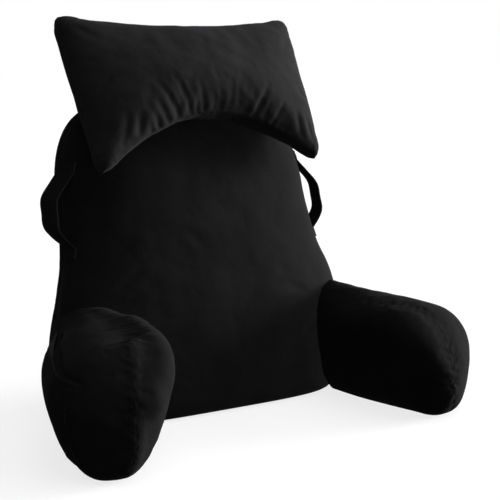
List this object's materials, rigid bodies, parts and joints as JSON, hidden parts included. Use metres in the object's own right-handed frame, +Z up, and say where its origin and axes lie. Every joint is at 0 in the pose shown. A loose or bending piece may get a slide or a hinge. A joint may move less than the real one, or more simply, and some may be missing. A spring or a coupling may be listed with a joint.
{
  "type": "reading pillow with arms",
  "caption": "Leaning filled back with splayed arms that rest on the floor or bed beside the sitter, a neck pillow bent over its top, webbing carry loops and an arm pocket, in black velvet.",
  "frame": {"origin": "middle of the back cushion's flat underside, on the surface that it rests on", "axes": "+X to the right of someone who looks at the sitter's side, +Y towards the rear of the back, +Z up"},
  "size_m": [0.8043, 0.5231, 0.707],
  "materials": {
    "black_velvet": "short soft velvet pile",
    "black_webbing": "flat woven webbing"
  },
  "bodies": {
    "root": {"back_cushion": "black_velvet", "arm_right": "black_velvet", "arm_left": "black_velvet", "neck_pillow": "black_velvet", "pocket_left": "black_velvet", "strap_right": "black_webbing", "strap_left": "black_webbing"}
  },
  "joints": []
}
